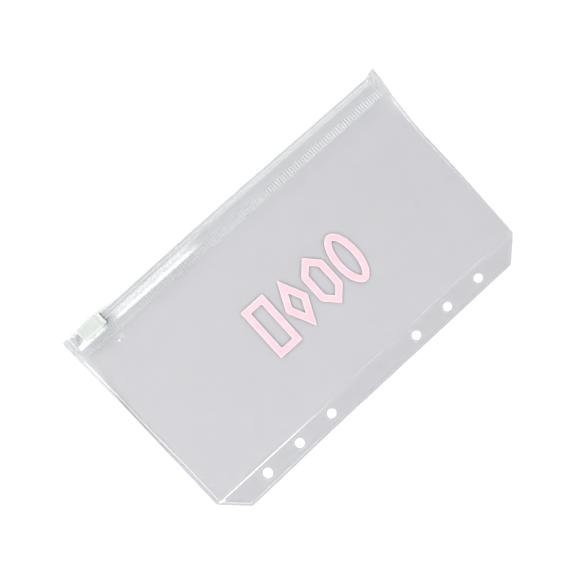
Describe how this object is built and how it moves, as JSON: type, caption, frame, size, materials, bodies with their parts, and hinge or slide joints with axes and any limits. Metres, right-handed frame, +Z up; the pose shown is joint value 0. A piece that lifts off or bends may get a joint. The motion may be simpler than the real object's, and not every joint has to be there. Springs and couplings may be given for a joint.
{
  "type": "cash envelope wallet",
  "caption": "Clear flexible zip pocket with a punched strip for a ring binder, a sliding zip closer and a pink printed pattern on the front.",
  "frame": {"origin": "centre of the bottom of the bounding box, on the table that the pocket lies on", "axes": "+X along the zip from the closed slider to its other end, +Y from the punched strip to the zip, +Z up through the front sheet"},
  "size_m": [0.1798, 0.1068, 0.0058],
  "materials": {
    "clear_film": "clear soft film, glossy, faintly grey",
    "zip_profile": "clear extruded profile, glossy",
    "slider_plastic": "milky white moulded plastic, satin",
    "pink_print": "light pink print, satin"
  },
  "bodies": {
    "pouch": {"front_sheet": "clear_film", "back_sheet": "clear_film", "zip_track_front": "zip_profile", "zip_track_back": "zip_profile", "print_upright_frame": "pink_print", "print_diamond": "pink_print", "print_hexagon": "pink_print", "print_oval": "pink_print"},
    "zip_slider": {"slider": "slider_plastic"}
  },
  "joints": [
    {"name": "zip_slide", "type": "slide", "parent": "pouch", "child": "zip_slider", "axis": [1, 0, 0], "range_m": [0, 0.1524]}
  ]
}
